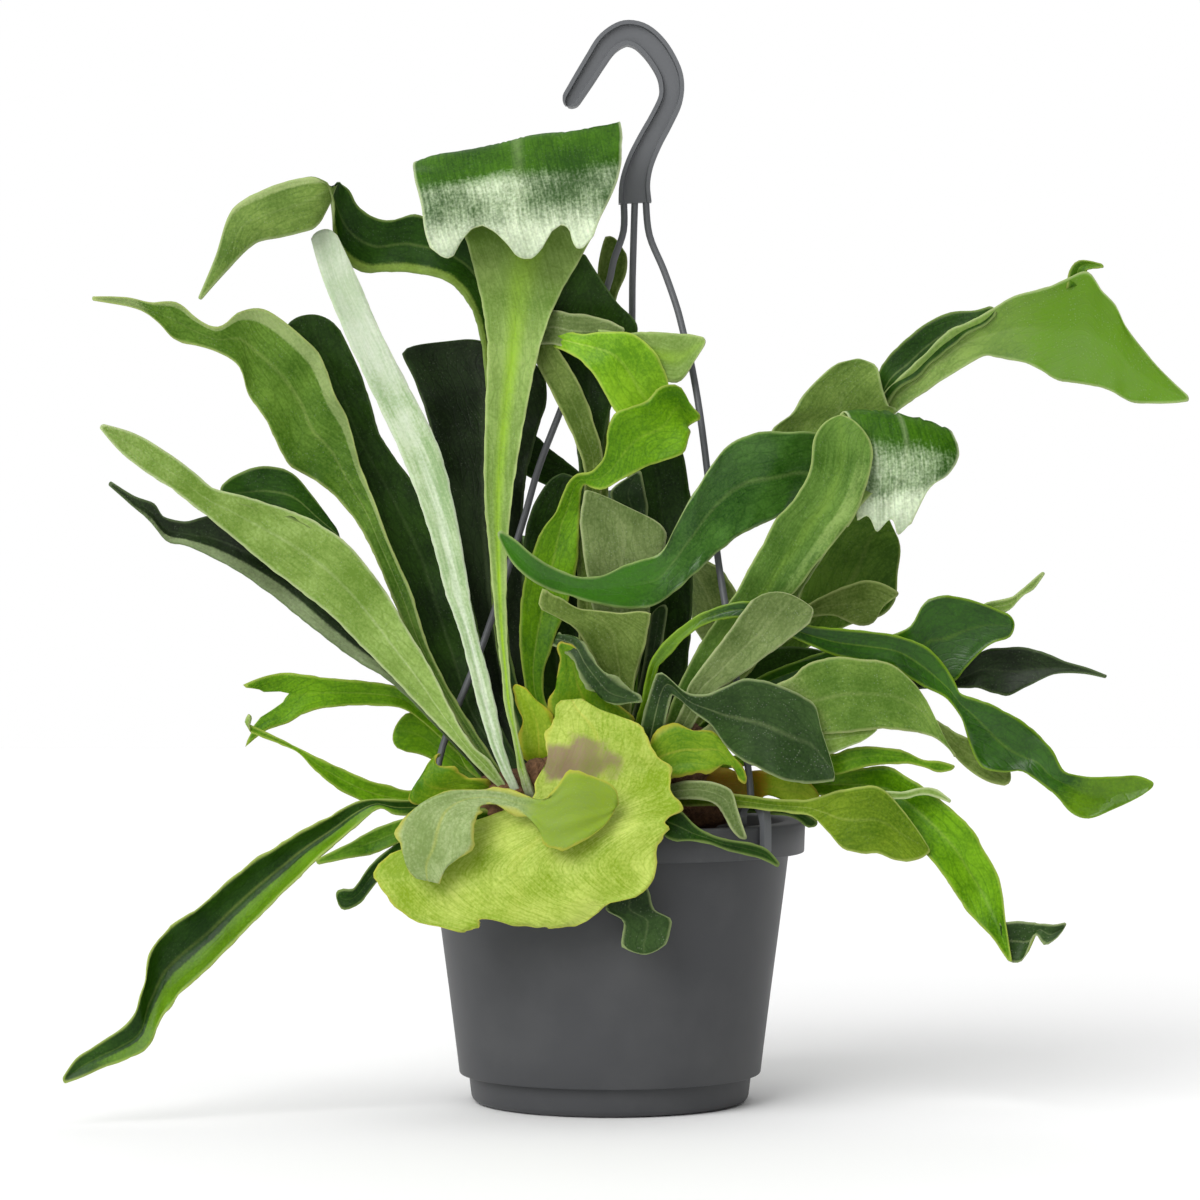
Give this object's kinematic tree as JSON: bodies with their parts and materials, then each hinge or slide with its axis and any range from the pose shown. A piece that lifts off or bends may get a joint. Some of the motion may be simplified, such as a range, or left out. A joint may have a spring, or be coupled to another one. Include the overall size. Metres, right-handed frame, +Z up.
{
  "type": "staghorn fern in hanging pot",
  "caption": "Staghorn fern with long forked and curled fronds and scalloped shield fronds, in a round dark grey plastic pot with a clip-on tray and a moulded hook hanger.",
  "frame": {"origin": "middle of the tray's flat underside, on the surface the pot stands on", "axes": "+Z up along the pot's axis, -Y towards the viewer of the picture, +X to the viewer's right"},
  "size_m": [0.4734, 0.2739, 0.4704],
  "materials": {
    "pot_plastic": "satin dark grey",
    "hanger_plastic": "semi-gloss dark grey",
    "soil": "loose bark and peat",
    "rhizome_fur": "furry brown",
    "leaf_green": "satin with fine pale hairs",
    "leaf_dark": "satin with fine pale hairs",
    "leaf_underside": "matt felted",
    "leaf_pale": "matt felted",
    "shield_lime": "satin with yellow rim"
  },
  "bodies": {
    "root": {"tray": "pot_plastic", "pot": "pot_plastic", "soil": "soil", "rhizome": "rhizome_fur", "hanger": "hanger_plastic", "frond_tall_centre": "leaf_green", "frond_pale_left": "leaf_pale", "frond_shade_left_centre": "leaf_dark", "frond_upper_left": "leaf_dark", "frond_left_high": "leaf_green", "frond_left_shade": "leaf_dark", "frond_left_long": "leaf_pale", "frond_left_low": "leaf_dark", "frond_left_forked": "leaf_green", "frond_left_blunt": "leaf_green", "frond_left_curled": "leaf_green", "frond_left_hanging": "leaf_green", "frond_left_small": "leaf_dark", "frond_centre_olive": "leaf_underside", "frond_centre_dark": "leaf_dark", "frond_centre_folded": "leaf_dark", "frond_centre_left": "leaf_green", "frond_centre_grey": "leaf_underside", "frond_centre_glossy": "leaf_dark", "frond_centre_cup": "leaf_underside", "shield_centre": "shield_lime", "shield_small": "shield_lime", "frond_centre_narrow": "leaf_dark", "frond_centre_blue": "leaf_underside", "frond_centre_back": "leaf_dark", "frond_shade_centre": "leaf_dark", "frond_crossing": "leaf_underside", "frond_right_pale_lobe": "leaf_pale", "frond_right_curled": "leaf_pale", "frond_right_long": "leaf_green", "frond_right_shade": "leaf_dark", "frond_right_twisted": "leaf_underside", "frond_right_grey": "leaf_underside", "frond_right_fill": "leaf_dark", "frond_right_arching": "leaf_green", "frond_right_dark_tip": "leaf_underside", "frond_right_broad": "leaf_green", "frond_right_dark_pointed": "leaf_dark", "frond_right_dark_lobed": "leaf_dark", "frond_right_blunt": "leaf_dark", "shield_right": "shield_lime", "shield_right_dying": "shield_lime", "frond_right_rim": "leaf_dark", "frond_right_olive": "leaf_underside", "frond_right_hanging": "leaf_green", "frond_right_thin": "leaf_green", "frond_rim_front": "leaf_dark", "frond_rim_folded": "leaf_underside", "shield_front": "shield_lime", "shield_saddle": "leaf_underside", "shield_left": "shield_lime", "frond_low_front": "leaf_dark", "frond_back_left": "leaf_green", "frond_back_middle": "leaf_dark", "frond_back_right": "leaf_green"}
  },
  "joints": []
}
